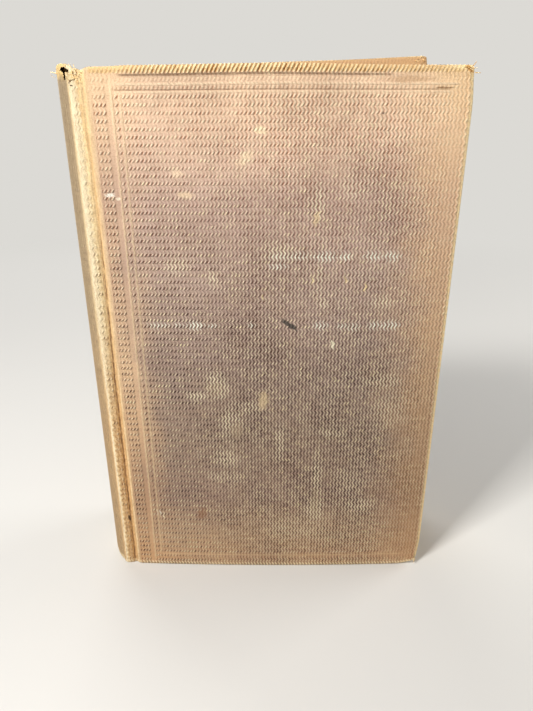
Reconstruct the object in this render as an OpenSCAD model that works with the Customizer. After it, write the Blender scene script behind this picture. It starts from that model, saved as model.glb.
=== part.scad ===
// Cloth case-bound book of the 1850s, standing on its tail with the spine on the left.
// X runs from the spine to the fore-edge, Y from the front cover to the back cover, Z from tail to head.
// The origin lies on the shelf, under the middle of the front board's width and of the page block's thickness.

/* [Boards] */
// Width of each cover board, cloth included
board_width = 119; // [90:1:160]
// Height of each cover board, cloth included
board_height = 192; // [150:1:240]
// Thickness of the bare pasteboard
board_thickness = 2.3; // [1.5:0.1:3.5]
// How far the middle of each cover bows outward
board_bow = 1.3; // [0:0.1:3]
// Radius of the worn corners of the boards
corner_radius = 1.6; // [1:0.1:4]
// Radius of the crushed lower fore-edge corner of the front board
bumped_corner_radius = 4.6; // [2:0.1:8]

/* [Cloth] */
// Thickness of the covering cloth
cloth_thickness = 0.5; // [0.3:0.05:0.8]
// Width of the cloth turned in over the inside of a board
turn_in = 15; // [8:1:22]
// Width of the cloth turned in at the head and tail of the spine
spine_turn_in = 12; // [6:1:20]

/* [Page block] */
// Thickness of the pages, endpapers not included
pages_thickness = 34.2; // [24:0.2:50]
// How far the boards stand above the head of the pages
head_square = 6; // [2:0.5:9]
// How far the boards stand out past the fore-edge of the pages
fore_edge_square = 3.5; // [2:0.5:7]
// Depth of the hollow of the fore-edge
fore_edge_hollow = 6; // [2:0.5:9]
// Thickness of an endpaper leaf
endpaper_thickness = 0.2; // [0.1:0.05:0.4]
// Margin of cloth left bare around a pastedown
pastedown_margin = 3; // [2:0.5:6]

/* [Spine] */
// How far the spine rounds out past its shoulders
spine_round = 8; // [5:0.5:12]
// Distance from the front board's edge to the fold in the groove
joint_width = 2.3; // [1.8:0.1:3]
// Distance from the front board's edge to the ridge of the shoulder
shoulder_offset = 5.6; // [5:0.1:8]
// Depth of the groove of each joint
groove_depth = 1.6; // [1:0.1:2]
// How far the shoulder ridges stay below the face of the boards
ridge_drop = 0.5; // [0.4:0.1:1.2]
// Height of the backed shoulder of the pages
backing_height = 1.5; // [0.8:0.1:2]
// Thickness of the stiff strip inside the spine cloth
inlay_thickness = 0.8; // [0.4:0.1:1.2]
// Thickness of the paper glued over the mull
lining_thickness = 0.3; // [0.2:0.05:0.5]
// Thickness of the mull
mull_thickness = 0.3; // [0.2:0.05:0.4]
// Distance from each end of the pages to the end of the mull
mull_end_gap = 8; // [4:1:20]
// Width of the mull pasted to each board
mull_flange_width = 28; // [15:1:40]

/* [Sewing] */
// Number of sunken cords
cord_count = 3; // [2:1:5]
// Diameter of a cord
cord_diameter = 2; // [1.2:0.1:3]
// Length of the frayed cord end pasted to a board
slip_length = 22; // [12:1:26]
// Width of the frayed cord end where it fans out
slip_width = 9; // [5:0.5:14]

/* [Back cover out of square] */
// Turn of the back cover in its own plane, fore-edge up
back_turn = 2.24; // [0:0.02:3]
// Height of the back cover's lowest corner above the shelf
back_lift = 0.5; // [0:0.1:2]
// Shift of the back cover's lowest corner towards the fore-edge
back_shift = 2.9; // [0:0.1:4]

/* [Stamped frame] */
// Width of a stamped fillet line
fillet_width = 0.5; // [0.3:0.1:1]
// Depth of a stamped fillet line
fillet_depth = 0.2; // [0.1:0.05:0.25]
// Distance of the outer fillet from the spine edge of the board
outer_fillet_spine = 6.8; // [5:0.1:9]
// Distance of the outer fillet from the fore-edge
outer_fillet_fore = 4; // [2.5:0.1:6]
// Distance of the outer fillet from the head
outer_fillet_head = 5.1; // [3:0.1:6]
// Distance of the outer fillet from the tail
outer_fillet_tail = 2.6; // [2:0.1:5]
// Distance of the inner fillet from the outer one
fillet_gap = 2.4; // [1.6:0.1:4]

/* [Torn spine head] */
// Height of the hole torn below the head of the spine
tear_height = 2.8; // [1:0.1:5]
// Width of the hole torn beside the front shoulder
tear_width = 3.4; // [1:0.1:6]
// Height of the rim of cloth left above the hole
tear_rim = 0.9; // [0.6:0.1:3]

/* [Hidden] */
$fn = 96;

// Clearances
leaf_clearance = 0.2;
joint_clearance = 0.4;
hollow_clearance = 0.3;
kerf_clearance = 0.05;
reach = 400;

// Depths below the outer face of a cover
board_front = cloth_thickness;
board_back = board_front + board_thickness;
turn_in_back = board_back + cloth_thickness;
cover_depth = turn_in_back + endpaper_thickness;

// Planes across the thickness of the book
pages_y = pages_thickness / 2;
endpaper_y = pages_y + endpaper_thickness;
face_y = endpaper_y + leaf_clearance + cover_depth;

// Lines along the width of the book
spine_edge_x = -board_width / 2;
fore_edge_x = board_width / 2;
pages_fore_x = fore_edge_x - fore_edge_square;
front_joint_x = spine_edge_x - joint_width;
back_joint_x = spine_edge_x + back_shift - board_height * sin(back_turn) - joint_clearance;
ridge_x = spine_edge_x - shoulder_offset;
pages_height = board_height - head_square;

// The round of the spine, and the layers under it
ridge_y = face_y - ridge_drop;
spine_r = (ridge_y * ridge_y + spine_round * spine_round) / (2 * spine_round);
spine_x = ridge_x - spine_round + spine_r;
inlay_r = spine_r - cloth_thickness;
spine_turn_in_r = inlay_r - inlay_thickness;
hollow_r = spine_turn_in_r - cloth_thickness;
lining_r = hollow_r - hollow_clearance;
mull_r = lining_r - lining_thickness;
pages_r = mull_r - mull_thickness;

// Half widths of the strips that follow the round of the spine
inlay_y = ridge_y * 0.86;
lining_y = pages_y * 0.96;

// Bow of a cover, worked out at equal steps across the board
bow_steps = 12;
function bow_at(x) = max(0, board_bow * (1 - pow(2 * x / board_width, 2)));
function cover_face(depth) = [
    for (i = [0 : bow_steps])
        let (x = spine_edge_x + board_width * i / bow_steps)
            [x, depth - face_y - bow_at(x)]
];
function reversed(list) = [for (i = [len(list) - 1 : -1 : 0]) list[i]];

// A shape drawn in X and Z, carried through the whole thickness of the book
module through_y() {
    rotate([90, 0, 0])
        linear_extrude(height = reach, center = true)
            children();
}

// The part of a bowed cover between two depths, trimmed to an outline in X and Z
module cover_layer(from_depth, to_depth) {
    intersection() {
        translate([0, 0, -reach / 2])
            linear_extrude(height = 2 * reach)
                polygon(concat(cover_face(from_depth), reversed(cover_face(to_depth))));
        through_y() children();
    }
}

// What a square corner loses when it wears round: x and z say which corner
module corner_loss(x, z, radius, x_side, z_side) {
    translate([x, z])
        mirror([x_side > 0 ? 1 : 0, 0])
            mirror([0, z_side > 0 ? 1 : 0])
                translate([-0.01, -0.01])
                    difference() {
                        square(radius);
                        translate([radius, radius]) circle(radius);
                    }
}

// Outline of a board, smaller by an inset on each side
module board_outline(inset, tail_corner) {
    left = spine_edge_x + inset;
    right = fore_edge_x - inset;
    top = board_height - inset;
    worn = max(corner_radius - inset, 0.4);
    bumped = max(tail_corner - inset, 0.4);
    difference() {
        translate([left, inset]) square([right - left, top - inset]);
        corner_loss(left, inset, worn, -1, -1);
        corner_loss(left, top, worn, -1, 1);
        corner_loss(right, top, worn, 1, 1);
        corner_loss(right, inset, bumped, 1, -1);
    }
}

// The bare middle of a board's inside, which the turned-in cloth leaves open up to the spine edge
module open_middle(inset) {
    translate([spine_edge_x + inset, turn_in + inset])
        square([board_width - turn_in - 2 * inset, board_height - 2 * turn_in - 2 * inset]);
}

// One stamped fillet line around the board
module fillet_ring(spine, fore, head, tail) {
    width = board_width - spine - fore;
    height = board_height - head - tail;
    translate([spine_edge_x + spine, tail])
        difference() {
            square([width, height]);
            translate([fillet_width, fillet_width])
                square([width - 2 * fillet_width, height - 2 * fillet_width]);
        }
}

module stamped_frame() {
    fillet_ring(outer_fillet_spine, outer_fillet_fore, outer_fillet_head, outer_fillet_tail);
    fillet_ring(outer_fillet_spine + fillet_gap, outer_fillet_fore + fillet_gap,
                outer_fillet_head + fillet_gap, outer_fillet_tail + fillet_gap);
}

// Strip of the mull that is pasted to a board
module mull_outline(inset) {
    left = spine_edge_x + cloth_thickness + inset;
    translate([left, turn_in + inset])
        square([mull_flange_width - 2 * inset, board_height - 2 * turn_in - 2 * inset]);
}

// Height of each sunken cord
function cord_z(i) = pages_height * (i + 0.5) / cord_count;

// The frayed ends of the cords, fanned out on a board
module slip_outline() {
    left = spine_edge_x + cloth_thickness;
    for (i = [0 : cord_count - 1])
        translate([left, cord_z(i)])
            polygon([
                [0, -cord_diameter / 2],
                [slip_length, -slip_width / 2],
                [slip_length, slip_width / 2],
                [0, cord_diameter / 2]
            ]);
}

// The cloth of one cover over the face, round the edges and turned in
module cover_cloth(tail_corner) {
    difference() {
        cover_layer(0, turn_in_back) board_outline(0, tail_corner);
        cover_layer(board_front, board_back) board_outline(cloth_thickness, tail_corner);
        cover_layer(board_back, turn_in_back + 1)
            translate([spine_edge_x - 1, turn_in])
                square([board_width - turn_in + 1, board_height - 2 * turn_in]);
        cover_layer(groove_depth + cloth_thickness, turn_in_back + 1)
            translate([spine_edge_x - 1, -1]) square([1 + cloth_thickness, board_height + 2]);
        cover_layer(-1, fillet_depth) stamped_frame();
    }
}

// The cloth between a board's edge and the fold in its groove
module joint_cloth(joint_x, tail_point, head_point) {
    seam = cloth_thickness / 2;
    translate([0, groove_depth - face_y, 0])
        rotate([90, 0, 0])
            mirror([0, 0, 1])
                linear_extrude(height = cloth_thickness)
                    polygon([
                        [joint_x, tail_point[1]],
                        [tail_point[0] + seam, tail_point[1]],
                        [head_point[0] + seam, head_point[1]],
                        [joint_x, head_point[1]]
                    ]);
}

// The pastedown steps down from the turned-in cloth to the mull and to the bare board
module pastedown(tail_corner) {
    left = spine_edge_x + cloth_thickness;
    difference() {
        cover_layer(board_back, cover_depth)
            translate([left, pastedown_margin])
                square([fore_edge_x - pastedown_margin - left, board_height - 2 * pastedown_margin]);
        cover_cloth(tail_corner);
        cover_layer(board_back, board_back + mull_thickness) mull_outline(0);
        cover_layer(board_back + endpaper_thickness, cover_depth + 1)
            difference() {
                open_middle(endpaper_thickness);
                mull_outline(-endpaper_thickness);
            }
        cover_layer(board_back + mull_thickness + endpaper_thickness, cover_depth + 1)
            intersection() {
                mull_outline(-endpaper_thickness);
                open_middle(endpaper_thickness);
            }
    }
}

// Places a piece of the back cover: mirrored to the back and turned out of square
module on_back_cover() {
    translate([back_shift + spine_edge_x, 0, back_lift])
        rotate([0, -back_turn, 0])
            translate([-spine_edge_x, 0, 0])
                mirror([0, 1, 0])
                    children();
}

// Ring segment around the axis of the spine, as wide as a half width on each side of the middle
module spine_strip(outer_r, inner_r, half_width, z_from, z_to) {
    translate([0, 0, z_from])
        linear_extrude(height = z_to - z_from)
            intersection() {
                translate([spine_x, 0])
                    difference() {
                        circle(outer_r);
                        circle(inner_r);
                    }
                translate([spine_x - reach, -half_width]) square([reach, 2 * half_width]);
            }
}

// The torn hole at the head of the spine, beside the front shoulder
module spine_tear() {
    rim_z = board_height - tear_rim;
    foot_z = rim_z - tear_height;
    near_y = -ridge_y + 0.8;
    far_y = near_y + tear_width;
    middle_y = (near_y + far_y) / 2;
    translate([ridge_x - spine_round, 0, 0])
        rotate([90, 0, 90])
            linear_extrude(height = 2 * spine_round)
                polygon([
                    [near_y, foot_z + tear_height * 0.4],
                    [middle_y - tear_width * 0.1, foot_z],
                    [far_y, foot_z + tear_height * 0.3],
                    [far_y - tear_width * 0.2, rim_z],
                    [middle_y, rim_z - tear_height * 0.2],
                    [near_y + tear_width * 0.2, rim_z]
                ]);
}

module page_block() {
    hollow_y = pages_y + 0.3;
    hollow_r = (hollow_y * hollow_y + fore_edge_hollow * fore_edge_hollow) / (2 * fore_edge_hollow);
    hollow_x = pages_fore_x - fore_edge_hollow + hollow_r;
    color("wheat")
        difference() {
            linear_extrude(height = pages_height)
                difference() {
                    union() {
                        intersection() {
                            translate([spine_x, 0]) circle(pages_r);
                            translate([spine_x - reach, -pages_y]) square([reach, pages_thickness]);
                        }
                        translate([spine_x - 1, -pages_y])
                            square([pages_fore_x - spine_x + 1, pages_thickness]);
                        intersection() {
                            translate([spine_x, 0]) circle(pages_r);
                            translate([spine_x - reach, -pages_y - backing_height])
                                square([front_joint_x - joint_clearance - spine_x + reach, backing_height + 1]);
                        }
                    }
                    translate([hollow_x, 0]) circle(hollow_r);
                }
            for (i = [0 : cord_count - 1])
                cord(i, cord_diameter / 2 + kerf_clearance);
        }
}

// One cord, sunk to its full depth into the back of the sections
module cord(i, radius) {
    sunk_r = pages_r - cord_diameter / 2;
    half_angle = asin(lining_y / sunk_r);
    translate([spine_x, 0, cord_z(i)])
        rotate([0, 0, 180 - half_angle])
            rotate_extrude(angle = 2 * half_angle)
                translate([sunk_r, 0])
                    circle(radius, $fn = 24);
}

module free_endpaper() {
    translate([front_joint_x, -endpaper_y, 0])
        cube([pages_fore_x - front_joint_x, endpaper_thickness, pages_height]);
}

module front_free_endpaper() {
    color("bisque") free_endpaper();
}

module back_free_endpaper() {
    color("bisque") mirror([0, 1, 0]) free_endpaper();
}

module sewing_cords() {
    color("tan")
        for (i = [0 : cord_count - 1])
            cord(i, cord_diameter / 2);
}

module spine_mull() {
    color("ivory") spine_strip(mull_r, pages_r, lining_y, mull_end_gap, pages_height - mull_end_gap);
}

module spine_lining() {
    color("peru") spine_strip(lining_r, mull_r, lining_y, mull_end_gap, pages_height - mull_end_gap);
}

module inlay_strip() {
    spine_strip(inlay_r, spine_turn_in_r, inlay_y, cloth_thickness, board_height - cloth_thickness);
}

module spine_inlay() {
    color("burlywood")
        difference() {
            inlay_strip();
            spine_tear();
        }
}

module spine_cloth() {
    groove_y = face_y - groove_depth;
    front_end_x = front_joint_x - joint_clearance;
    back_end_x = back_joint_x - joint_clearance;
    ring_end_y = sqrt(inlay_r * inlay_r - pow(spine_x - ridge_x, 2));
    color("rosybrown")
        difference() {
            union() {
                linear_extrude(height = board_height) {
                    difference() {
                        translate([spine_x, 0])
                            difference() {
                                circle(spine_r);
                                circle(inlay_r);
                            }
                        translate([ridge_x, -reach]) square([reach, reach]);
                        translate([min(ridge_x, back_end_x), 0]) square([reach, reach]);
                    }
                    polygon([
                        [ridge_x - 0.01, -ridge_y],
                        [ridge_x + cloth_thickness, -ridge_y],
                        [front_end_x, -groove_y],
                        [front_end_x, -groove_y + cloth_thickness],
                        [ridge_x + cloth_thickness / 2, -ring_end_y],
                        [ridge_x - 0.01, -ring_end_y]
                    ]);
                }
                spine_strip(inlay_r, hollow_r, inlay_y, 0, spine_turn_in);
                spine_strip(inlay_r, hollow_r, inlay_y, board_height - spine_turn_in, board_height);
            }
            inlay_strip();
            spine_tear();
        }
}

module board_slab(tail_corner) {
    cover_layer(board_front, board_back) board_outline(cloth_thickness, tail_corner);
}

module front_board() {
    color("darkkhaki") board_slab(bumped_corner_radius);
}

module back_board() {
    color("darkkhaki") on_back_cover() board_slab(corner_radius);
}

module front_cloth() {
    color("rosybrown") {
        cover_cloth(bumped_corner_radius);
        joint_cloth(front_joint_x, [spine_edge_x, 0], [spine_edge_x, board_height]);
    }
}

module back_cloth() {
    edge_tail = [spine_edge_x + back_shift, back_lift];
    edge_head = edge_tail + board_height * [-sin(back_turn), cos(back_turn)];
    color("rosybrown") {
        on_back_cover() cover_cloth(corner_radius);
        mirror([0, 1, 0]) joint_cloth(back_joint_x, edge_tail, edge_head);
    }
}

module front_pastedown() {
    color("bisque") pastedown(bumped_corner_radius);
}

module back_pastedown() {
    color("bisque") on_back_cover() pastedown(corner_radius);
}

module mull_flange() {
    cover_layer(board_back, board_back + mull_thickness)
        difference() {
            mull_outline(0);
            slip_outline();
        }
}

module front_mull_flange() {
    color("ivory") mull_flange();
}

module back_mull_flange() {
    color("ivory") on_back_cover() mull_flange();
}

module cord_slips() {
    cover_layer(board_back, board_back + mull_thickness) slip_outline();
}

module front_cord_slips() {
    color("tan") cord_slips();
}

module back_cord_slips() {
    color("tan") on_back_cover() cord_slips();
}

page_block();
front_free_endpaper();
back_free_endpaper();
sewing_cords();
spine_mull();
spine_lining();
spine_inlay();
spine_cloth();
front_board();
front_cloth();
front_pastedown();
front_mull_flange();
front_cord_slips();
back_board();
back_cloth();
back_pastedown();
back_mull_flange();
back_cord_slips();
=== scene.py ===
"""A worn cloth-bound book of the 1850s, standing on its tail with the front cover to the camera."""
import math
import random

import bpy
import bmesh
import numpy as np
from mathutils import Matrix, Vector


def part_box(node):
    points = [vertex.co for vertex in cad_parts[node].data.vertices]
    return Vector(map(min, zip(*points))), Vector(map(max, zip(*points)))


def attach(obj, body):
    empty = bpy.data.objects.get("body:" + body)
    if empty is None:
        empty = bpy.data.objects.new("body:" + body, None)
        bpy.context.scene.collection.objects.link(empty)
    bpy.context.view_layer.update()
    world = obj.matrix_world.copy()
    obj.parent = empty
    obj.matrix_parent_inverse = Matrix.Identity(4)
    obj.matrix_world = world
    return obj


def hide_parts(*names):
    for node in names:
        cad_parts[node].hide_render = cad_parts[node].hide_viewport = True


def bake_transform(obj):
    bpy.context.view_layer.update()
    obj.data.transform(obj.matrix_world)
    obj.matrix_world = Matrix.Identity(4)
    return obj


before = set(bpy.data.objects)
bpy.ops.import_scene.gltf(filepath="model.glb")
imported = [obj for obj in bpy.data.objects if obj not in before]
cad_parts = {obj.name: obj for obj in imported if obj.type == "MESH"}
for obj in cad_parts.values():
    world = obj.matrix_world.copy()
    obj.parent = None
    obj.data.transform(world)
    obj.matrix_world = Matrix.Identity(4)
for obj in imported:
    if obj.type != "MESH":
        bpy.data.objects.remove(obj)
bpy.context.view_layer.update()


# The page block
# About two dozen folded sections of toned rag paper, sewn, rounded and trimmed as one block.
# Age has let the sections slip a little, so the head and the fore-edge show their steps.

MM = 0.001
BLOCK_HIGH = np.array(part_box("page_block")[1]) / MM
SPINE_LOW = np.array(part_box("spine_cloth")[0]) / MM
FRONT_LOW, FRONT_HIGH = [np.array(corner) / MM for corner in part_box("front_cloth")]
SPINE_HALF, SPINE_ROUND = 20.5, 8
SPINE_RADIUS = (SPINE_HALF ** 2 + SPINE_ROUND ** 2) / (2 * SPINE_ROUND)
SPINE_CENTRE_X = float(SPINE_LOW[0]) + SPINE_RADIUS
PAPER_SPINE_RADIUS = 27.6
PAGES_HALF = 17.1
LEAF_GROUPS = 108
SECTION_LEAVES = 5
FORE_HOLLOW = 6.0
FORE_SQUARE = 3.5
# How far a section and a leaf may slip at the fore-edge and drop at the head, and the leaves' waviness
SECTION_SLIP, SECTION_DROP = (-0.35, 0.1), (-0.45, 0.0)
LEAF_SLIP, LEAF_DROP = (-0.12, 0.04), (-0.12, 0.0)
LEAF_WAVES, COCKLE = 14, 0.12


def colour(code):
    """A hex colour as written for the screen, turned linear for the shader."""
    parts = [int(code[i:i + 2], 16) / 255 for i in (1, 3, 5)]
    return [c / 12.92 if c <= 0.04045 else ((c + 0.055) / 1.055) ** 2.4 for c in parts] + [1.0]


def node(tree, kind, inputs=None, output=0, stops=None, **settings):
    """Adds one shader node with its settings, links and colour stops, and gives one of its outputs."""
    new = tree.nodes.new("ShaderNode" + kind)
    for setting, value in settings.items():
        setattr(new, setting, value)
    for socket, value in (inputs or {}).items():
        if isinstance(value, bpy.types.NodeSocket):
            tree.links.new(value, new.inputs[socket])
        else:
            new.inputs[socket].default_value = colour(value) if isinstance(value, str) else value
    if stops:
        ramp = new.color_ramp.elements
        while len(ramp) > 1:
            ramp.remove(ramp[0])
        ramp[0].position, ramp[0].color = stops[0][0], colour(stops[0][1])
        for position, code in stops[1:]:
            ramp.new(position).color = colour(code)
    return new.outputs[output]


def mask(tree, *factors):
    """The product of its factors; (value, from, to, least, most, slope) stands for a value's range."""
    product = None
    for factor in factors:
        if isinstance(factor, tuple):
            value, low, high, least, most, slope = factor + (0.0, 1.0, "LINEAR")[len(factor) - 3:]
            factor = node(tree, "MapRange", {0: value, 1: low, 2: high, 3: least, 4: most},
                          interpolation_type=slope)
        if product is not None:
            factor = node(tree, "Math", {0: product, 1: factor}, operation="MULTIPLY")
        product = factor
    return product


def laid_over(tree, tone, *layers):
    """Lays colours over a tone in turn, each through its own mask."""
    for amount, over in layers:
        tone = node(tree, "Mix", {0: amount, 6: tone, 7: over}, output=2, data_type="RGBA")
    return tone


def new_material(name):
    """An empty material, with its node tree and its shader."""
    made = bpy.data.materials.new(name)
    made.use_nodes = True
    return made, made.node_tree, made.node_tree.nodes["Principled BSDF"]


def surface(tree, shader, tone, relief, roughness, specular):
    """Gives the shader its colour, its relief and how dull it is."""
    tree.links.new(tone, shader.inputs["Base Color"])
    if relief:
        tree.links.new(relief, shader.inputs["Normal"])
    shader.inputs["Roughness"].default_value = roughness
    shader.inputs["Specular IOR Level"].default_value = specular


def dress(piece, made):
    """Gives a piece or a node of the frame one material."""
    piece.data.materials.clear()
    piece.data.materials.append(made)


def skin(mesh, rings):
    """Closes a row of rings of vertices into a solid."""
    for low, high in zip(rings, rings[1:]):
        for a in range(len(low)):
            b = (a + 1) % len(low)
            mesh.faces.new((low[a], low[b], high[b], high[a]))
    mesh.faces.new(reversed(rings[0]))
    mesh.faces.new(rings[-1])


def piece_from(name, mesh):
    """Turns a worked mesh into a piece of the scene."""
    data = bpy.data.meshes.new(name)
    mesh.to_mesh(data)
    mesh.free()
    piece = bpy.data.objects.new(name, data)
    bpy.context.collection.objects.link(piece)
    return piece


def toned_paper(name, face, edge, darkest):
    """Rag paper: matt, warm with age, with the thin dark lines of its leaves where it is cut."""
    made, tree, shader = new_material(name)
    place = node(tree, "TexCoord", output="Object")
    # Leaves lie across Y, so the noise is drawn out along X and Z and tight along Y: 0.25 mm a leaf
    leaf = node(tree, "Mapping", {0: place, "Scale": (14, 4000, 14)})
    lines = node(tree, "TexNoise", {0: leaf, "Scale": 1.0, "Detail": 2.0})
    # The darkest tone draws the thin lines between the leaves
    line_tone = node(tree, "ValToRGB", {0: lines}, stops=[(0.3, darkest), (0.48, edge), (0.62, face)])
    stain = node(tree, "TexNoise", {0: place, "Scale": 45.0, "Detail": 5.0})
    tone = laid_over(tree, line_tone, (mask(tree, (stain, 0.45, 0.72, 0.0, 0.55)), edge))
    relief = node(tree, "Bump", {"Height": lines, "Strength": 0.35, "Distance": 0.0002})
    surface(tree, shader, tone, relief, 0.88, 0.25)
    return made


def page_block_mesh():
    """Thin slabs of leaves side by side, each with its own small slip at the head and fore-edge."""
    steps = random.Random(4)
    mesh = bmesh.new()
    thickness = 2 * PAGES_HALF / LEAF_GROUPS
    fore_radius = (PAGES_HALF ** 2 + FORE_HOLLOW ** 2) / (2 * FORE_HOLLOW)
    fore_x = FRONT_HIGH[0] - FORE_SQUARE
    for group in range(LEAF_GROUPS):
        if group % SECTION_LEAVES == 0:
            section_slip = steps.uniform(*SECTION_SLIP)
            section_head = steps.uniform(*SECTION_DROP)
        y0 = -PAGES_HALF + group * thickness
        y1 = y0 + thickness
        middle = (y0 + y1) / 2
        hollow = FORE_HOLLOW - fore_radius + math.sqrt(fore_radius ** 2 - middle ** 2)
        right = fore_x - hollow + section_slip + steps.uniform(*LEAF_SLIP)
        left = SPINE_CENTRE_X - math.sqrt(PAPER_SPINE_RADIUS ** 2 - middle ** 2) + 0.1
        top = BLOCK_HIGH[2] + section_head + steps.uniform(*LEAF_DROP)
        rings = []
        for z in np.linspace(0, top, LEAF_WAVES + 1):
            cockle = COCKLE * math.sin(z * 0.07 + middle * 0.35) * (1 - abs(middle) / PAGES_HALF)
            rings.append([mesh.verts.new((x * MM, (y + cockle) * MM, z * MM))
                          for x, y in ((left, y0), (right, y0), (right, y1), (left, y1))])
        skin(mesh, rings)
    return piece_from("page_block_leaves", mesh)


rag_paper = toned_paper("toned_rag_paper", "#e3cfa6", "#cdb283", "#8f7047")
page_block = page_block_mesh()
dress(page_block, rag_paper)
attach(page_block, "text_block")
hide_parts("page_block")


# The endpapers
# One folded sheet of plain paper at each end: the free leaf lies on the block, the other half is
# pasted to the board. The paper has browned from the board's acid and carries a few fox marks.

def endpaper_sheet(name):
    """Plain endpaper: matt cream, browned in clouds, with small rust-coloured fox marks."""
    made, tree, shader = new_material(name)
    place = node(tree, "TexCoord", output="Object")
    flat = node(tree, "Mapping", {0: place, "Scale": (1, 0, 1)})
    cloudy = node(tree, "TexNoise", {0: flat, "Scale": 30.0, "Detail": 6.0})
    base = node(tree, "ValToRGB", {0: cloudy}, stops=[(0.3, "#cfb685"), (0.5, "#ddc89c"), (0.7, "#e6d5ae")])
    spots = node(tree, "TexVoronoi", {0: flat, "Scale": 110.0})
    tone = laid_over(tree, base, (mask(tree, (spots, 0.10, 0.02)), "#a4763f"))
    fibre = node(tree, "TexNoise", {0: flat, "Scale": 2500.0, "Detail": 2.0})
    relief = node(tree, "Bump", {"Height": fibre, "Strength": 0.12, "Distance": 0.0001})
    surface(tree, shader, tone, relief, 0.9, 0.2)
    return made


endpaper = endpaper_sheet("browned_endpaper")
for part in ("front_free_endpaper", "back_free_endpaper", "front_pastedown", "back_pastedown"):
    dress(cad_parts[part], endpaper)


# Sewing and linings
# Hemp cords, open muslin and brown paper hold the sections and the case together. They are seen
# only inside the hollow of the spine and where the papers are lifted.

def coarse_fibre(name, light, dark, grain, strength):
    """Unbleached hemp or muslin: dull, fibrous, darker in its gaps."""
    made, tree, shader = new_material(name)
    place = node(tree, "TexCoord", output="Object")
    fibre = node(tree, "TexNoise", {0: place, "Scale": grain, "Detail": 4.0})
    tone = node(tree, "ValToRGB", {0: fibre}, stops=[(0.35, dark), (0.62, light)])
    relief = node(tree, "Bump", {"Height": fibre, "Strength": strength, "Distance": 0.0002})
    surface(tree, shader, tone, relief, 0.92, 0.15)
    return made


hemp = coarse_fibre("hemp_cord", "#a98f63", "#6f5836", 1600, 0.6)
muslin = coarse_fibre("sized_muslin", "#cdbd98", "#8d7a55", 2200, 0.5)
brown_paper = coarse_fibre("brown_lining_paper", "#9a7a4e", "#6f5231", 700, 0.25)
pasteboard = coarse_fibre("grey_brown_pasteboard", "#9c8157", "#6b5333", 900, 0.4)
for part in ("sewing_cords", "front_cord_slips", "back_cord_slips"):
    dress(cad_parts[part], hemp)
for part in ("spine_mull", "front_mull_flange", "back_mull_flange"):
    dress(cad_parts[part], muslin)
for part in ("spine_lining", "spine_inlay"):
    dress(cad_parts[part], brown_paper)


# The boards inside the cloth
# Pasteboard, pressed waste paper 2.3 mm thick. Each board is bowed and knocked in at its corners
# together with its cloth, so it is a divided block that goes through the same wear as the cloth.
# Below, u and v are millimetres over a cover from its spine edge and from its tail.

BOARD_W = 119.0
BOARD_H = float(FRONT_HIGH[2])
BOARD_THICK, CLOTH_THICK = 2.3, 0.5
BOARD_INSET = 0.6
BOARD_CUTS = 31
FACE_Y = 21.0
BOARD_BOW = float(-FRONT_LOW[1]) - FACE_Y
SPINE_EDGE_X = float(FRONT_HIGH[0]) - BOARD_W
SEAM_U = 0.5
# The back cover has slipped: its turn out of square, its shift to the fore-edge and its lift
BACK_TURN = math.radians(2.24)
BACK_SHIFT = 2.9
BACK_LIFT = 0.5


def near(value, centre, width):
    """A smooth bump: 1 at the centre, falling off over the width."""
    return np.exp(-((value - centre) / width) ** 2)


def step(value, low, high):
    """A smooth step from 0 at low to 1 at high."""
    t = np.clip((value - low) / (high - low), 0, 1)
    return t * t * (3 - 2 * t)


def primitive(name, add, **settings):
    """Adds a primitive of unit size. Also gives where its vertices lie, 0 to 1 along each axis."""
    bpy.ops.object.select_all(action="DESELECT")
    add(size=1, **settings)
    piece = bpy.context.object
    piece.name = name
    return piece, unit_places(piece)


def unit_places(piece):
    """Where the vertices of a piece of unit size lie, 0 to 1 along each axis."""
    places = np.empty(len(piece.data.vertices) * 3)
    piece.data.vertices.foreach_get("co", places)
    return (places.reshape(-1, 3) + 0.5).T


def place_points(piece, points):
    """Moves the vertices of a piece to points in millimetres, and drops its unused UV map."""
    piece.data.vertices.foreach_set("co", (points * MM).ravel())
    piece.data.update()
    for layer in list(piece.data.uv_layers):
        piece.data.uv_layers.remove(layer)


def knocked_about(u, v, bumped):
    """Where a point of a cover's face lies, now that the board is bowed and its corners knocked in."""
    x, z = u.copy(), v.copy()
    z = z + 0.45 * near(u, 55, 25) * step(v, BOARD_H - 12, BOARD_H)
    x = x - 0.75 * step(v, BOARD_H - 14, BOARD_H - 1) ** 1.5 * step(u, BOARD_W - 25, BOARD_W)
    if bumped:
        # The lower fore-edge corner was dropped on: it is pushed up and in
        p, q = BOARD_W - u, v
        push_up = 2.3 * np.clip(1 - p / 11, 0, 1) ** 2.2 * np.clip(1 - q / 16, 0, 1)
        push_in = 1.2 * np.clip(1 - q / 13, 0, 1) ** 1.6 * np.clip(1 - p / 12, 0, 1)
        z, x = z + push_up, x - push_in
    else:
        # The head of the back board stands a little higher still, and its corner is worn away
        z = z + (0.3 + 0.5 * u / BOARD_W) * step(v, BOARD_H - 20, BOARD_H)
        x = x - 0.7 * step(v, BOARD_H - 9, BOARD_H) * step(u, BOARD_W - 8, BOARD_W)
    bow = BOARD_BOW * np.clip(1 - (2 * (u - BOARD_W / 2) / BOARD_W) ** 2, 0, 1)
    return x, z, -(FACE_Y + bow)


def to_back_cover(points):
    """Carries points of a square front cover to the back cover, which has slipped out of square."""
    x = points[..., 0] - SPINE_EDGE_X
    z = points[..., 2]
    turned_x = x * math.cos(BACK_TURN) - z * math.sin(BACK_TURN)
    turned_z = x * math.sin(BACK_TURN) + z * math.cos(BACK_TURN)
    return np.stack([turned_x + SPINE_EDGE_X + BACK_SHIFT, -points[..., 1], turned_z + BACK_LIFT], -1)


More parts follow.
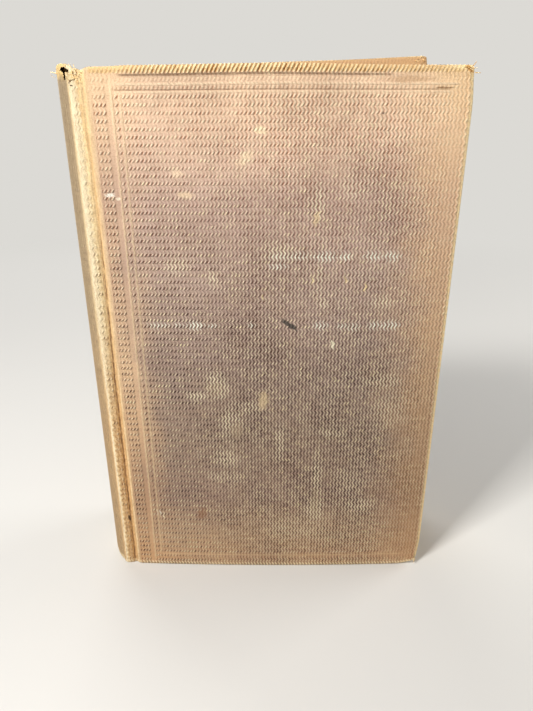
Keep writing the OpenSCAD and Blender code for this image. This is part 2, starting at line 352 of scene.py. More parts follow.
def worn_board(name, bumped):
    """The pasteboard of one cover."""
    board, _ = primitive(name, bpy.ops.mesh.primitive_cube_add)
    bpy.ops.object.mode_set(mode="EDIT")
    bpy.ops.mesh.select_all(action="SELECT")
    bpy.ops.mesh.subdivide(number_cuts=BOARD_CUTS)
    if not bumped:
        bpy.ops.mesh.flip_normals()
    bpy.ops.object.mode_set(mode="OBJECT")
    across, through, upward = unit_places(board)
    u = SEAM_U + across * (BOARD_W - SEAM_U - BOARD_INSET)
    v = BOARD_INSET + upward * (BOARD_H - 2 * BOARD_INSET)
    x, z, face_y = knocked_about(u, v, bumped)
    points = np.stack([x + SPINE_EDGE_X, face_y + CLOTH_THICK + through * BOARD_THICK, z], -1)
    if not bumped:
        points = to_back_cover(points)
    place_points(board, points)
    dress(board, pasteboard)
    return board


front_worn_board = worn_board("front_pasteboard", bumped=True)
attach(front_worn_board, "front_cover")
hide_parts("front_board")
back_worn_board = worn_board("back_pasteboard", bumped=False)
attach(back_worn_board, "back_cover")
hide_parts("back_board")


# The cloth of the covers
# Starched cotton cloth, rolled under heat with a wave grain: upright ribs that zigzag, 1.29 mm apart,
# turning every 1.17 mm. A blocking press has stamped a double fillet frame around each board.
# Each cover is one sheet over the face, rolled round three edges and turned in on the inside.

COVER_DEPTH = 3.3
EDGE_ROLL = 0.9
RIB_PITCH, RIB_HEIGHT, RIB_SHIFT = 1.285, 0.11, 0.33
TURN_ROWS = 162
ROW_HEIGHT = (BOARD_H - 2 * EDGE_ROLL) / TURN_ROWS
WELD_WITHIN = 0.000002


def soft_noise(a, b, size, seed):
    """Smooth noise from 0 to 1 over two coordinates, with lumps of about the given size."""
    lattice = np.random.default_rng(seed).random((64, 64))
    x, y = a / size + 17.3, b / size + 9.1
    i, j = np.floor(x).astype(int), np.floor(y).astype(int)
    fx, fy = x - i, y - j
    fx, fy = fx * fx * (3 - 2 * fx), fy * fy * (3 - 2 * fy)
    corners = [lattice[(i + di) % 64, (j + dj) % 64] for di in (0, 1) for dj in (0, 1)]
    low = corners[0] * (1 - fx) + corners[2] * fx
    high = corners[1] * (1 - fx) + corners[3] * fx
    return low * (1 - fy) + high * fy


# How the cloth rolls round an edge: distance in from the edge, depth below the face. TUCKED is the way
# along the cloth from the edge, for the face and each step of the wrap
ROLL = [(EDGE_ROLL - EDGE_ROLL * math.sin(a), EDGE_ROLL - EDGE_ROLL * math.cos(a))
        for a in (math.radians(30), math.radians(60))]
ROLL.append((0.0, EDGE_ROLL))
WRAP = [(0.0, COVER_DEPTH - EDGE_ROLL), (0.26, COVER_DEPTH - 0.26), (EDGE_ROLL, COVER_DEPTH),
        (8.0, COVER_DEPTH), (15.0, COVER_DEPTH)]
TUCKED = np.array([0.0, 0.4, 1.6, 3.0, 9.0, 15.0])
CORNER_RADIUS = 1.6


def rolled_depth(gap):
    """How deep the cloth lies below the face at a distance from the edge that it rolls round."""
    inset = np.clip(EDGE_ROLL - gap, 0, EDGE_ROLL)
    return EDGE_ROLL - np.sqrt(np.maximum(EDGE_ROLL ** 2 - inset ** 2, 0))


def upright_stations():
    """Heights of the rows of the cloth, with how many steps each lies beyond the edge of the board."""
    inner = np.linspace(EDGE_ROLL, BOARD_H - EDGE_ROLL, TURN_ROWS + 1)
    rolled = [inset for inset, _ in ROLL]
    head = [BOARD_H - inset for inset in rolled]
    heights = np.concatenate([sorted(rolled), inner, head])
    beyond = len(WRAP)
    heights = np.concatenate([np.full(beyond, heights[0]), heights, np.full(beyond, heights[-1])])
    steps = np.zeros(len(heights), int)
    steps[:beyond] = np.arange(beyond, 0, -1)
    steps[-beyond:] = np.arange(1, beyond + 1)
    return heights, steps


def rib_lean(v):
    """How far the ribs lie to one side at each height, -1 to 1; at the head they run on over the edge."""
    turns = (v - EDGE_ROLL) / ROW_HEIGHT
    swing = np.abs(np.maximum(turns, 0) % 2 - 1) * 2 - 1
    return np.where(turns > TURN_ROWS, 1 + 2 * (turns - TURN_ROWS), swing)


def frame_pressing(u, v):
    """How far the stamped frame has flattened and straightened the grain, and how deep it is pressed."""
    head = BOARD_H - v
    fore = BOARD_W - u
    inside_u = step(u, 5.5, 7.0) * step(fore, 3.0, 6.0)
    inside_v = step(head, 4.0, 4.6) * step(v, 1.6, 2.2)
    deep_u = step(u, 8.2, 9.0) * step(fore, 5.4, 7.0)
    deep_v = step(head, 6.0, 6.6) * step(v, 4.2, 4.8)
    pale = np.maximum.reduce([
        near(u, 7.15, 0.42) * inside_v, 0.9 * near(u, 9.8, 0.42) * deep_v,
        near(head, 5.1, 0.38) * inside_u, 0.8 * near(head, 7.25, 0.38) * deep_u,
        near(v, 2.6, 0.38) * inside_u, near(v, 5.8, 0.38) * deep_u,
    ])
    dark = np.maximum(
        0.9 * near(head, 2.55, 0.33) * step(u, 6, 14) * (1 - 0.8 * step(u, 78, 95)),
        0.75 * near(head, 6.65, 0.26) * step(u, 6.5, 8.0) * step(fore, 5.8, 7.0))
    band = step(u, 4.9, 5.4) * (1 - step(u, 6.4, 6.9)) * inside_v
    fore_band = step(fore, 2.0, 3.2) * (1 - step(fore, 5.8, 7.4))
    head_band = step(head, 2.5, 2.9) * (1 - step(head, 4.4, 4.9)) * inside_u
    stiff = np.maximum.reduce([pale, dark, 0.92 * band])
    flat = np.maximum.reduce([stiff, 0.3 * fore_band, 0.6 * head_band])
    roll = (1 - step(head, 2.0, 2.7)) * (1 - 0.6 * step(u, 70, 95)) * step(u, 4, 12)
    tail_roll = 0.5 * (1 - step(v, 1.4, 2.2))
    depth = 0.14 * dark - 0.10 * pale + 0.10 * band - 0.30 * roll - 0.16 * tail_roll
    return flat, stiff, depth


def rib_relief(u):
    """Height of the ribs across the cloth, from -1 in a valley to 1 on a crest."""
    phase = ((u - SEAM_U) / RIB_PITCH) % 1.0
    return np.interp(phase, (0.0, 0.25, 0.5, 0.75, 1.0), (1.0, 0.3, -1.0, 0.3, 1.0))


# Rows rubbed nearly white and patches rubbed to cream: from the spine edge, from the head, half sizes
# and strength
WHITE_ROWS = [
    (74.8, 58.4, 5.6, 1.5, 0.95), (81.6, 58.4, 2.8, 1.4, 0.9), (66, 58.2, 5.2, 1.3, 0.65),
    (59.5, 58.3, 5.2, 1.3, 0.5), (91, 58.3, 3.6, 1.5, 0.9), (97.3, 58.4, 4, 1.5, 0.95),
    (59, 61.6, 4.2, 1.3, 0.65), (16, 83.2, 4.6, 1.3, 0.6), (23.3, 83.1, 2.2, 1.2, 0.7),
    (29.3, 83.1, 4, 1.5, 0.95), (34.6, 83.2, 3.4, 1.2, 0.65), (49.3, 83, 1.5, 1.3, 0.8),
    (73.9, 83.1, 3.2, 1.4, 0.85), (81.2, 83.2, 2.4, 1.2, 0.6), (85.6, 83.9, 2.8, 1.6, 0.6),
    (93.6, 83.1, 3.4, 1.5, 0.85), (98.6, 83.2, 4.6, 1.6, 0.95), (10.5, 164.8, 1.5, 1.2, 0.5),
]
CREAM_PATCHES = [
    (36.2, 107, 5.2, 6, 0.8), (28.5, 111, 4.5, 2, 0.9), (41, 122, 5, 8, 0.55), (38.5, 138, 6, 5, 0.55),
    (36, 66, 2.2, 3, 0.6), (24, 61.5, 5, 3.5, 0.55), (59, 56.5, 6, 5, 0.5), (95, 74.5, 4.5, 2.4, 0.6),
    (74.5, 75, 2.2, 2.4, 0.65), (97, 105, 9, 3, 0.5), (73, 66, 1.4, 9, 0.4), (72, 41, 2.4, 7, 0.55),
    (83, 36, 6, 4, 0.3), (74, 162.5, 4.2, 7, 0.95), (74.5, 147, 2.4, 14, 0.6), (92, 161, 8, 5, 0.6),
    (59.5, 131, 2.4, 9, 0.5), (80, 127, 6, 2, 0.5), (38, 147, 9, 2.5, 0.35), (12, 166, 1.3, 1.8, 0.9),
    (47, 116, 8, 3, 0.4), (101, 118, 8, 8, 0.3), (66, 172, 14, 7, 0.3), (87, 150, 7, 8, 0.3),
]


def rubbed_mask(u, v, places):
    """How far the tops of the ribs are rubbed at each point of the cloth."""
    rubbed = np.zeros(u.shape)
    for from_spine, from_head, half_w, half_h, strength in places:
        away = np.hypot((u - from_spine) / half_w, (v - BOARD_H + from_head) / half_h)
        rubbed = np.maximum(rubbed, strength * np.clip((1.1 - away) / 0.7, 0, 1))
    return rubbed


def cover_arrays(bumped):
    """Points of one cover in its own square frame, face towards -Y, with the patterns each point carries."""
    heights, v_steps = upright_stations()
    count = int(round((BOARD_W - EDGE_ROLL - SEAM_U) / (RIB_PITCH / 4)))
    inner = np.linspace(SEAM_U, BOARD_W - EDGE_ROLL, count + 1)
    across = np.concatenate([inner, [BOARD_W - inset for inset, _ in ROLL]])
    across = np.concatenate([across, np.full(len(WRAP), across[-1])])
    u_steps = np.zeros(len(across), int)
    u_steps[-len(WRAP):] = np.arange(1, len(WRAP) + 1)
    u, v = np.meshgrid(across, heights)
    k = np.maximum(*np.meshgrid(u_steps, v_steps))

    # The grain: ribs run up the cloth, and each row of it leans to the other side
    sheet = np.stack([u, v, np.zeros_like(u)], -1)
    flat, stiff, pressed = frame_pressing(u, v)
    edge = np.minimum.reduce([BOARD_W - u, v, BOARD_H - v])
    rub = 0.80 + 0.45 * soft_noise(u, v, 9, 1) - 0.30 * soft_noise(u, v, 2.2, 2)
    worn_side = 0.2 * step(u, 86, 106) * (1 - step(v, 70, 130)) + 0.2 * step(u, 96, 112)
    worn_side = np.maximum(worn_side, 0.6 * (1 - step(np.hypot(u / 13, (BOARD_H - v) / 10), 0.7, 1.15)))
    strength = (1 - flat) * np.clip(rub, 0, 1.1) * (1 - worn_side) * step(u, SEAM_U - 0.1, SEAM_U + 0.7)
    shift = RIB_SHIFT * rib_lean(v) * (1 - stiff) * step(u, SEAM_U, 1.4)
    shift = shift * np.array([1, 1, 0.6, 0.2, 0, 0])[k] * step(BOARD_W - u, 0, 0.8)
    relief = RIB_HEIGHT * rib_relief(u) * strength * (1 + 0.6 * (edge < 2.2) - 0.5 * step(v, 110, 150))
    u = u + shift + 0.05 * (soft_noise(u, v, 1.1, 3) - 0.5) * step(edge, 0, 1) * step(u, SEAM_U, 2)

    # Worn corners: a square corner is drawn in to a quarter round
    def round_corner(u, v, radius, head):
        a = (u - (BOARD_W - radius)) / radius
        b = ((v - (BOARD_H - radius)) if head else (radius - v)) / radius
        inside = (a > 0) & (b > 0)
        a2 = np.where(inside, a * np.sqrt(np.maximum(1 - b * b / 2, 0)), a)
        b2 = np.where(inside, b * np.sqrt(np.maximum(1 - a * a / 2, 0)), b)
        reach = np.where(inside, radius * (1 - np.hypot(a2, b2)), 99)
        v2 = (BOARD_H - radius + b2 * radius) if head else (radius - b2 * radius)
        return BOARD_W - radius + a2 * radius, v2, reach

    u, v, reach_head = round_corner(u, v, CORNER_RADIUS, True)
    u, v, reach_tail = round_corner(u, v, CORNER_RADIUS, False)
    gap = np.minimum.reduce([BOARD_W - u, v, BOARD_H - v, reach_head, reach_tail])
    depth = rolled_depth(gap)
    for number, (wrap_in, wrap_depth) in enumerate(WRAP, start=1):
        at = k == number
        u = np.where(at, np.minimum(u, BOARD_W - wrap_in), u)
        v = np.where(at, np.clip(v, wrap_in, BOARD_H - wrap_in), v)
        depth = np.where(at, wrap_depth, depth)

    x, z, face_y = knocked_about(u, v, bumped)
    if bumped:
        depth = depth - 0.5 * near(np.hypot(BOARD_W - u - 2, v - 2.5), 0, 2.2) * (k == 0)
    outward = np.where(k == 0, relief - pressed, 0)
    toward_face = np.clip(gap / EDGE_ROLL, 0.0, 1) ** 0.5
    y = face_y + depth - outward * toward_face
    rolled = np.where(k == 0, outward * (1 - toward_face), 0)
    z = z + rolled * np.where(v > BOARD_H / 2, 1, -1) * (np.minimum(v, BOARD_H - v) < EDGE_ROLL)
    points = np.stack([x + SPINE_EDGE_X, y, np.maximum(z, 0)], -1)
    sheet[..., 0] += TUCKED[u_steps][None, :]
    sheet[..., 1] += (TUCKED[v_steps] * np.where(heights > BOARD_H / 2, 1, -1))[:, None]
    white, cream = (WHITE_ROWS, CREAM_PATCHES) if bumped else ([], CREAM_PATCHES[4:12])
    return {"points": points, "sheet": sheet, "edge": np.where(k == 0, gap, TUCKED[k]),
            "grain": np.where(k < 2, strength, 0.45), "inside": step(k, 0.5, 2.5),
            "rubbed_white": rubbed_mask(sheet[..., 0], sheet[..., 1], white),
            "rubbed_cream": rubbed_mask(sheet[..., 0], sheet[..., 1], cream)}


def cloth_sheet(name, arrays, flipped=False):
    """A grid laid over the worked-out points, with the cloth's own flat coordinates kept on it."""
    rows, columns = arrays["edge"].shape
    piece, places = primitive(name, bpy.ops.mesh.primitive_grid_add,
                              x_subdivisions=columns - 1, y_subdivisions=rows - 1)
    mesh = piece.data
    i = np.rint(places[0] * (columns - 1)).astype(int)
    j = np.rint(places[1] * (rows - 1)).astype(int)
    place_points(piece, arrays["points"][j, i])
    flat = mesh.attributes.new("sheet_mm", "FLOAT_VECTOR", "POINT")
    flat.data.foreach_set("vector", arrays["sheet"][j, i].astype(np.float32).ravel())
    for key in ("edge", "grain", "inside", "rubbed_white", "rubbed_cream"):
        if key in arrays:
            kept = mesh.attributes.new(key, "FLOAT", "POINT")
            kept.data.foreach_set("value", arrays[key][j, i].astype(np.float32))
    # A rib turns sharply where one row of the grain meets the next
    ends = np.empty(len(mesh.edges) * 2, int)
    mesh.edges.foreach_get("vertices", ends)
    one, other = ends.reshape(-1, 2).T
    turns = (j[one] == j[other]) & (arrays["grain"][j, i][one] > 0.2) & (arrays["inside"][j, i][one] < 0.5)
    sharp = mesh.attributes.new("sharp_edge", "BOOLEAN", "EDGE")
    sharp.data.foreach_set("value", turns)
    mesh.update()
    if "gone" in arrays:
        torn = arrays["gone"][j, i]
        bpy.ops.object.mode_set(mode="EDIT")
        bpy.ops.mesh.select_mode(type="FACE")
        bpy.ops.mesh.select_all(action="DESELECT")
        bpy.ops.object.mode_set(mode="OBJECT")
        mesh.polygons.foreach_set("select", [bool(torn[list(face.vertices)].all()) for face in mesh.polygons])
        bpy.ops.object.mode_set(mode="EDIT")
        bpy.ops.mesh.delete(type="FACE")
        bpy.ops.mesh.select_mode(type="VERT")
        bpy.ops.object.mode_set(mode="OBJECT")
    bpy.ops.object.mode_set(mode="EDIT")
    bpy.ops.mesh.select_all(action="SELECT")
    bpy.ops.mesh.remove_doubles(threshold=WELD_WITHIN)
    if flipped:
        bpy.ops.mesh.flip_normals()
    bpy.ops.object.mode_set(mode="OBJECT")
    mesh.polygons.foreach_set("use_smooth", np.ones(len(mesh.polygons), bool))
    return piece


# Tones of the faded dye. They run from tail to head, 0 to 1, over the face and its yellowed borders,
# and across the joint from -12 to 4 mm from the spine edge, at its head and at its tail. Over the face and
# its borders they grow lighter towards the head, partly by fading and partly as painted light
FIELD_TONES = [(0.0, "#d2a57b"), (0.08, "#d2ae89"), (0.18, "#a88b79"), (0.33, "#a48c7a"), (0.5, "#ab9386"),
               (0.65, "#bca294"), (0.8, "#d0b1a0"), (0.9, "#f6d2b4"), (1.0, "#ffdbb5")]
SPINE_SIDE_TONES = [(0.0, "#deac7b"), (0.2, "#cda277"), (0.35, "#fecf9c"), (0.5, "#ffd6a6"),
                    (0.65, "#e3bb92"), (0.8, "#cfaa88"), (1.0, "#e0be92")]
FORE_EDGE_TONES = [(0.0, "#c99b6f"), (0.2, "#b79069"), (0.5, "#d1ab82"), (0.8, "#e2bb95"), (1.0, "#fcd7a4")]
JOINT_HEAD = [(0.0, "#b59c77"), (0.24, "#c4ab85"), (0.30, "#dcc197"), (0.35, "#e2c99b"), (0.40, "#f2e2bd"),
              (0.4875, "#f5e4bc"), (0.56, "#f6dca8"), (0.66, "#f2d19c"), (0.75, "#e3c49c"), (0.85, "#dcbb98")]
JOINT_TAIL = [(0.0, "#c6a376"), (0.26, "#d0ae80"), (0.36, "#dbb482"), (0.38, "#fbdcaa"), (0.405, "#fff3d0"),
              (0.43, "#fbdfae"), (0.46, "#e4bb84"), (0.55, "#ddb078"), (0.60, "#dcac72"), (0.66, "#f0c48c"),
              (0.70, "#e0ae6e"), (0.722, "#ffe8bb"), (0.742, "#f0cd9a"), (0.765, "#d0ac86")]

# Lines of the frame: along the width or not, place, start, end, half width, strength, colour (mm)
FRAME_LINES = [
    (False, 7.15, 2.6, BOARD_H - 5.0, 0.42, 0.62, "#ecd2a8"),
    (False, 9.8, 5.8, BOARD_H - 7.2, 0.42, 0.55, "#ecd2a8"),
    (True, BOARD_H - 5.1, 7.15, BOARD_W - 4.0, 0.42, 0.7, "#ecd3b0"),
    (True, BOARD_H - 7.3, 9.8, BOARD_W - 6.4, 0.40, 0.5, "#ecd3b0"),
    (True, 2.6, 7.15, BOARD_W - 4.0, 0.42, 0.6, "#dfbd93"),
    (True, 5.8, 9.8, BOARD_W - 6.4, 0.42, 0.6, "#dfbd93"),
    # This dark line under the raised roll of the head is painted shadow: the roll's shadow on the pressed
    # face
    (True, BOARD_H - 2.6, 9.0, 94.0, 0.36, 0.7, "#7d583a"),
    (True, BOARD_H - 6.7, 7.5, 112.5, 0.30, 0.5, "#8d6442"),
]
# Marks on the front cover: millimetres from the spine edge and from the head, half sizes, tilt, colour
FRONT_MARKS = [
    (62.9, 82.9, 4.5, 1.1, -34, "#3f3d38", 0.85), (53.4, 113.0, 2.3, 4.8, -12, "#e6cca2", 0.7),
    (52.9, 18.1, 2.6, 1.6, -20, "#fbe3bb", 0.8), (48.0, 26.5, 4.2, 1.9, 40, "#f8deb8", 0.65),
    (25.9, 31.2, 2.4, 1.6, 0, "#f6dab8", 0.65), (28.3, 37.9, 3.4, 1.3, 0, "#f6dab4", 0.65),
    (71.4, 45.5, 1.3, 2.9, -12, "#dfc39a", 0.7), (78.6, 90.4, 0.85, 2.0, 12, "#fbf0d0", 0.85),
    (28.0, 165.0, 2.4, 3.4, -20, "#9b6b49", 0.5), (3.4, 38.0, 2.0, 0.75, 8, "#f4ecdc", 0.95),
    (6.0, 39.2, 1.0, 0.6, 0, "#efe2c8", 0.85), (98.5, 3.9, 9.0, 1.2, 0, "#bb926a", 0.5),
    (109.7, 6.2, 3.8, 0.3, 0, "#8a6238", 0.75), (117.2, 1.2, 2.6, 0.55, -28, "#c58d4b", 0.8),
    (91.2, 13.4, 0.35, 0.35, 0, "#4a3a32", 0.9), (87.5, 35.2, 0.35, 0.35, 0, "#5a4538", 0.8),
    (43.0, 126.0, 3.4, 5.0, 0, "#b59c80", 0.45), (35.5, 108.0, 4.5, 3.6, -15, "#b79d80", 0.35),
    (74.0, 160.0, 2.2, 9.0, 0, "#b79c7c", 0.35), (70.6, 66.5, 0.45, 1.4, 0, "#f0dca8", 0.8),
    (89.0, 69.0, 0.5, 1.9, -8, "#ecd3a0", 0.8), (82.0, 66.5, 0.5, 1.6, 10, "#ecd3a0", 0.7),
    (-2.6, 168.5, 0.55, 1.8, 6, "#3b3128", 0.85), (53.4, 72.6, 0.4, 1.1, 10, "#f0dca8", 0.85),
]
# Marks on the back cover, the same way. The first is partly the worn cream head corner and partly a painted
# highlight, lightening a corner that lies in the front cover's shade
BACK_MARKS_AND_PAINTED_LIGHT = [
    (115.0, 1.6, 7.0, 4.0, 0, "#ffe6b4", 0.95), (110.8, 2.6, 2.4, 1.1, 20, "#b98c55", 0.6),
]


def apart(tree, one, other):
    """How far two values lie apart."""
    gap = node(tree, "Math", {0: one, 1: other}, operation="SUBTRACT")
    return node(tree, "Math", {0: gap}, operation="ABSOLUTE")


def wave_grain_cloth(name, marks):
    """Wave-grain book cloth: starched cotton, its mauve-brown dye faded in clouds to pink-tan at the head
    and yellow-tan at the edges, reddish brown in the valleys of the grain, bare on its rubbed ribs. Part
    of its lightening towards the head is painted light, and it carries painted shade and highlights."""
    made, tree, shader = new_material(name)
    flat = node(tree, "Attribute", output="Vector", attribute_name="sheet_mm")
    u = node(tree, "SeparateXYZ", {0: flat})
    v = u.node.outputs[1]
    edge, grain, inside, cream_patch, white_patch = (
        node(tree, "Attribute", output="Fac", attribute_name=key)
        for key in ("edge", "grain", "inside", "rubbed_cream", "rubbed_white"))
    # Noise over the cloth, in lumps of about 30, 17, 6, 1.7 and 1.1 mm and, for its threads, 0.5 mm:
    # twice their real spacing, so that they still show
    broad, ragged, dusty, frayed, thread, speck = (
        node(tree, "TexNoise", {0: flat, "Scale": scale, "Detail": detail, "Roughness": roughness})
        for scale, detail, roughness in ((0.03, 3, 0.55), (0.06, 5, 0.5), (0.17, 6, 0.7),
                                         (0.6, 4, 0.5), (0.9, 4, 0.6), (2.2, 3, 0.7)))
    # Streaks that run up the joint, and scraps that lie aslant on it
    streak, rough = (
        node(tree, "TexNoise", {
            0: node(tree, "Mapping", {0: flat, "Rotation": (0, 0, turn), "Scale": stretch}),
            "Scale": 1.0, "Detail": detail, "Roughness": roughness})
        for turn, stretch, detail, roughness in ((0.0, (1.5, 0.22, 1.0), 5, 0.65),
                                                 (0.35, (1.7, 0.75, 1.0), 3, 0.6)))

    # Dye from tail to head, faded in clouds and dusty, yellow-tan with a ragged border towards the
    # fore-edge and the spine edge, bare cotton along the edges of the board, widest at the head. The
    # lightening from tail to head is partly painted light
    height = mask(tree, (v, 0.0, BOARD_H))
    upright, fore_tone, spine_tone = (node(tree, "ValToRGB", {0: height}, stops=tones)
                                      for tones in (FIELD_TONES, FORE_EDGE_TONES, SPINE_SIDE_TONES))
    wander = node(tree, "Math", {0: ragged, 1: 24.0, 2: u}, operation="MULTIPLY_ADD")
    fore = mask(tree, (wander, 103.0, 128.0, 0.0, 0.8, "SMOOTHSTEP"))
    edge_ragged = node(tree, "Math", {0: frayed, 1: 2.0, 2: edge}, operation="MULTIPLY_ADD")
    reach = node(tree, "Math", {
        0: mask(tree, (v, 100.0, BOARD_H - 6, 1.45, 1.9)),
        1: mask(tree, (v, BOARD_H - 6, BOARD_H - 1, 0.0, 1.7))}, operation="ADD")
    worn_edge = node(tree, "Math", {0: reach, 1: edge_ragged}, operation="SUBTRACT")
    tone = laid_over(
        tree, upright,
        (mask(tree, (broad, 0.38, 0.66, 0.0, 0.35)), "#85695c"),
        (mask(tree, (dusty, 0.45, 0.7, 0.0, 0.35)), "#b5987c"),
        (fore, fore_tone),
        (mask(tree, (wander, 30.0, 12.0, 0.0, 0.6, "SMOOTHSTEP")), spine_tone),
        (mask(tree, (worn_edge, 0.0, 0.9, 0.0, 0.85)), "#dfba80"))

    # Joint and spine: cream on the shoulder, tan and browner over the back, paler over its middle, its
    # head worn to yellow cotton. The grain on the joint is worn to a rough brown and cream mottle,
    # strongest in its lower half; near the tail the wear reaches round on to the back
    section = mask(tree, (u, -12.0, 4.0))
    joint_head, joint_tail = (node(tree, "ValToRGB", {0: section}, stops=tones)
                              for tones in (JOINT_HEAD, JOINT_TAIL))
    upper = mask(tree, (v, 55.0, 125.0, 0.0, 1.0, "SMOOTHSTEP"))
    over_back = mask(tree, (u, -5.9, -7.6))
    middle = node(tree, "Math", {0: streak, 1: -9.0, 2: u}, operation="MULTIPLY_ADD")
    torn_head = node(tree, "Math", {0: streak, 1: 6.0, 2: v}, operation="MULTIPLY_ADD")
    on_joint = node(tree, "Math", {
        0: mask(tree, (u, -5.3, -4.6), (u, -1.2, -1.9, 0.35, 1.0)),
        1: mask(tree, (v, 22.0, 6.0, 0.0, 0.6), (u, -14.0, -7.0))}, operation="MAXIMUM")
    joint_tone = laid_over(
        tree, joint_tail, (upper, joint_head),
        (mask(tree, over_back, (v, 100.0, 185.0, 0.0, 0.58)), "#8f8068"),
        (mask(tree, (streak, 0.45, 0.68, 0.0, 0.6)), laid_over(tree, "#b98f66", (over_back, "#7f6e58"))),
        (mask(tree, (u, -7.2, -8.6, 0.0, 0.3), streak), "#6f5638"),
        (mask(tree, (middle, -15.0, -25.0, 0.0, 0.5, "SMOOTHSTEP")), "#dcc5a0"),
        (mask(tree, (torn_head, BOARD_H - 1.5, BOARD_H, 0.0, 0.8), over_back), "#f0cc88"),
        (mask(tree, (rough, 0.5, 0.6, 0.0, 0.5), on_joint, (upper, 0.0, 1.0, 1.0, 0.25)), "#8f5f34"),
        (mask(tree, (rough, 0.44, 0.34, 0.0, 0.6), on_joint), "#fbe6bb"))
    # The brown crease beside the board wanders, and bends towards the spine at the head
    slack = node(tree, "Math", {0: frayed, 1: 0.7, 2: u}, operation="MULTIPLY_ADD")
    bend = mask(tree, (v, 163.0, 188.0, 0.0, 1.9))
    slack = node(tree, "Math", {0: slack, 1: bend}, operation="ADD")
    crease = apart(tree, slack, mask(tree, (v, 85.0, 140.0, -1.85, -1.1)))
    tone = laid_over(
        tree, tone, (mask(tree, (u, 1.0, 0.0, 0.0, 1.0, "SMOOTHSTEP")), joint_tone),
        (mask(tree, (crease, 0.9, 0.2), (v, 120.0, 30.0, 0.3, 0.5)), "#cf9a5a"),
        (mask(tree, (crease, 0.34, 0.12), (v, 160.0, 120.0, 0.03, 0.85), (streak, 0.36, 0.56, 0.15, 1.0)),
         "#6b4526"))

    # Pale and dark lines of the stamped frame, broken by wear; the dark line 2.6 mm below the head is painted
    # shadow under the head roll. Their relief goes into the bump below
    raised = node(tree, "Value")
    for along_u, place, start, end, half_width, strength, code in FRAME_LINES:
        across, along = (v, u) if along_u else (u, v)
        off, span = apart(tree, across, place), apart(tree, along, (start + end) / 2)
        half_length = (end - start) / 2
        line = mask(tree, (off, half_width, half_width * 0.4), (span, half_length, half_length - 1.5),
                    (frayed, 0.25, 0.6, 0.5 * strength, strength))
        tone = laid_over(tree, tone, (line, code))
        raised = node(tree, "Math", {0: line, 1: -1.0 if code < "#b" else 1.0, 2: raised},
                      operation="MULTIPLY_ADD")

    # Ribs: the distance to the nearest valley, 0 to half a rib. Rows of the grain lean in turn; the
    # rows that lean back are shallower, most of all near the spine. The same row mask sets the colour
    # contrast below: darker valleys and paler crests on the rows that lean forward, which is painted shade
    # and highlight, as light from the upper left falls across those ribs and along the others
    rib_count = node(tree, "Math", {0: u, 1: 1 / RIB_PITCH, 2: -SEAM_U / RIB_PITCH}, operation="MULTIPLY_ADD")
    lean_count = node(tree, "Math", {0: v, 1: 1 / (2 * ROW_HEIGHT), 2: -EDGE_ROLL / (2 * ROW_HEIGHT)},
                      operation="MULTIPLY_ADD")
    rib, lean = (apart(tree, node(tree, "Math", {0: count}, operation="FRACT"), centre)
                 for count, centre in ((rib_count, 0.5), (lean_count, 0.75)))
    cell = node(tree, "CombineXYZ", {0: rib_count, 1: mask(tree, lean_count, 2.0)})
    cell = node(tree, "VectorMath", {0: cell}, operation="FLOOR")
    chance = node(tree, "TexWhiteNoise", {"Vector": cell}, noise_dimensions="2D")
    deep = mask(tree, (v, 172.0, 85.0))
    back_relief_and_shade = node(tree, "Math", {
        0: mask(tree, (wander, 25.0, 80.0, 0.22, 0.7)),
        1: mask(tree, (wander, 30.0, 70.0, 0.2, 0.9), deep)}, operation="MAXIMUM")
    forward = mask(tree, (lean, 0.27, 0.15))
    rope = mask(tree, (v, BOARD_H - 2.6, BOARD_H - 2.1), (u, 94.0, 66.0, 0.3, 1.0), (u, 5.0, 24.0, 0.35, 1.0))
    over_tail = mask(tree, (v, 2.2, 1.5))
    rolled = node(tree, "Math", {0: rope, 1: over_tail}, operation="MAXIMUM")
    stroke = forward
    for other in (mask(tree, (lean, 0.25, 0.37), back_relief_and_shade), 0.12, rolled):
        stroke = node(tree, "Math", {0: stroke, 1: other}, operation="MAXIMUM")
    uneven = node(tree, "Math", {0: thread, 1: chance}, operation="ADD")
    dyed = mask(tree, (uneven, 1.5, 0.55, 0.4, 1.1))

    # Valleys keep the dye and crests lose it. Near the head the grain is fainter towards the fore-edge,
    # and the very fore-edge is rubbed smooth and painted pale cream: partly wear, partly a painted highlight
    quiet = node(tree, "Math", {0: mask(tree, (deep, 0.0, 1.0, -0.7, 0.0)), 1: fore, 2: 1.0},
                 operation="MULTIPLY_ADD")
    smooth = mask(tree, (edge, 0.7, 1.7, 1.0, 0.0), (u, 108.0, 114.0, 0.0, 0.85))
    left_dark = node(tree, "Math", {0: 1.0, 1: smooth}, operation="SUBTRACT")
    # Painted shade, over the dye kept in the valleys: the valleys are darkened most on the rows that lean
    # forward
    valley = mask(tree, (rib, 0.26, 0.11), stroke, dyed, grain, quiet, left_dark)
    valley_tone = laid_over(tree, "#c6aa9a", (deep, "#6a5148"), (rolled, "#ac8658"))
    # Painted highlight, partly wear: the fore-edge roll faces away from the key lamp and is laid over with
    # pale cream
    tone = laid_over(tree, tone, (smooth, "#ffe2aa"))
    tone = node(tree, "Mix", {0: valley, 6: tone, 7: valley_tone}, output=2,
                data_type="RGBA", blend_type="MULTIPLY")
    crest = mask(tree, (rib, 0.24, 0.36), grain)
    pale = laid_over(tree, "#e3ccb6", (chance, "#eddcb8"), (rolled, "#f9e3b4"))
    # Painted highlight, over the crests' wear: the crests are paled most on the rows that lean forward
    tone = laid_over(
        tree, tone, (mask(tree, crest, (uneven, 0.6, 1.45, 0.2, 1.0), stroke), pale),
        (mask(tree, over_tail, (rib, 0.12, 0.3, 0.25, 0.95), dyed), "#ffeabf"),
        # Here and there a single rib is rubbed to bare yellowish cotton
        (mask(tree, (chance, 0.93, 0.97, 0.0, 0.6), crest, stroke), "#f0dfae"),
        # Frayed turns of the ribs stand along the very edge as pale beads
        (mask(tree, (edge, 1.2, 0.5, 0.0, 0.8), forward, (u, 110.0, 116.0), dyed), "#f4dfb2"))
